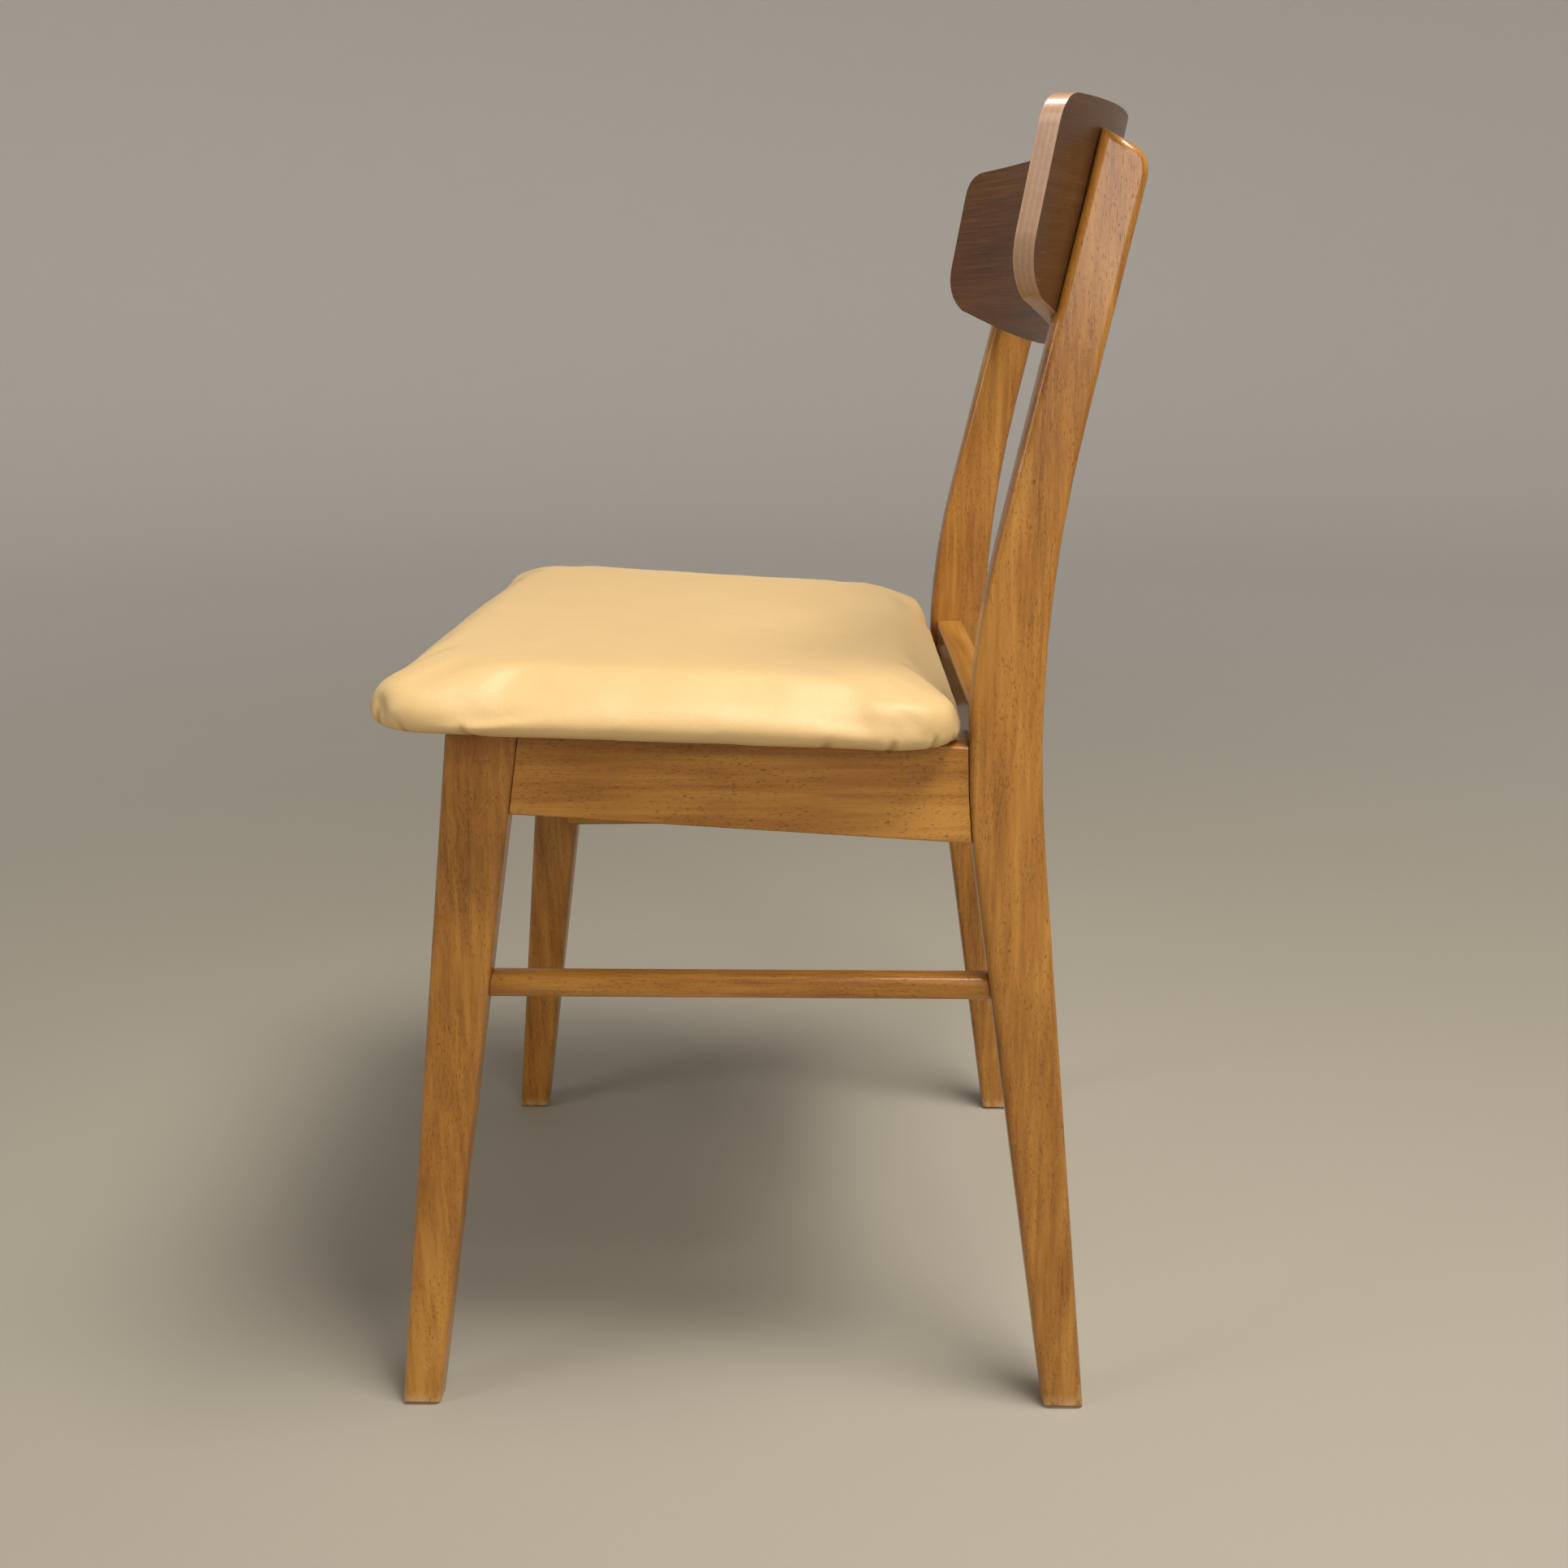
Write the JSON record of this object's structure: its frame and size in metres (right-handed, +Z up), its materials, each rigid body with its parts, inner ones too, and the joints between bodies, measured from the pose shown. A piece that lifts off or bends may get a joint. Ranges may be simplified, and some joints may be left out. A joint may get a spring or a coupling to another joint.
{
  "type": "dining chair",
  "caption": "Dining chair with splayed beech frame, bowed plywood back panel, padded leatherette seat and side stretchers.",
  "frame": {"origin": "centre of the bounding box on the floor, under the seat", "axes": "+Z up, the chair faces -Y, +X is the sitter's left"},
  "size_m": [0.4678, 0.4524, 0.768],
  "materials": {
    "beech": "honey-stained beech under satin lacquer",
    "teak_veneer": "dark brown veneered plywood, satin",
    "leatherette": "mustard leatherette, fine pebble grain, satin",
    "foam": "matt foam padding",
    "plywood": "raw birch plywood",
    "block_wood": "raw beech",
    "dowel_wood": "raw fluted beech",
    "steel": "zinc-plated screws, dulled"
  },
  "bodies": {
    "root": {"back_panel": "teak_veneer", "front_rail": "beech", "left_front_block_cross_screw": "steel", "left_front_block_side_screw": "steel", "left_front_corner_block": "block_wood", "left_front_leg": "beech", "left_front_rail_dowel_1": "dowel_wood", "left_front_rail_dowel_2": "dowel_wood", "left_front_seat_screw": "steel", "left_lower_panel_plug": "beech", "left_lower_panel_screw": "steel", "left_rear_block_cross_screw": "steel", "left_rear_block_side_screw": "steel", "left_rear_corner_block": "block_wood", "left_rear_leg": "beech", "left_rear_rail_dowel_1": "dowel_wood", "left_rear_rail_dowel_2": "dowel_wood", "left_rear_seat_screw": "steel", "left_side_rail": "beech", "left_side_rail_front_dowel_1": "dowel_wood", "left_side_rail_front_dowel_2": "dowel_wood", "left_side_rail_rear_dowel_1": "dowel_wood", "left_side_rail_rear_dowel_2": "dowel_wood", "left_stretcher": "beech", "left_upper_panel_plug": "beech", "left_upper_panel_screw": "steel", "rear_rail": "beech", "right_front_block_cross_screw": "steel", "right_front_block_side_screw": "steel", "right_front_corner_block": "block_wood", "right_front_leg": "beech", "right_front_rail_dowel_1": "dowel_wood", "right_front_rail_dowel_2": "dowel_wood", "right_front_seat_screw": "steel", "right_lower_panel_plug": "beech", "right_lower_panel_screw": "steel", "right_rear_block_cross_screw": "steel", "right_rear_block_side_screw": "steel", "right_rear_corner_block": "block_wood", "right_rear_leg": "beech", "right_rear_rail_dowel_1": "dowel_wood", "right_rear_rail_dowel_2": "dowel_wood", "right_rear_seat_screw": "steel", "right_side_rail": "beech", "right_side_rail_front_dowel_1": "dowel_wood", "right_side_rail_front_dowel_2": "dowel_wood", "right_side_rail_rear_dowel_1": "dowel_wood", "right_side_rail_rear_dowel_2": "dowel_wood", "right_stretcher": "beech", "right_upper_panel_plug": "beech", "right_upper_panel_screw": "steel", "seat_board": "plywood", "seat_cover": "leatherette", "seat_foam": "foam"}
  },
  "joints": []
}
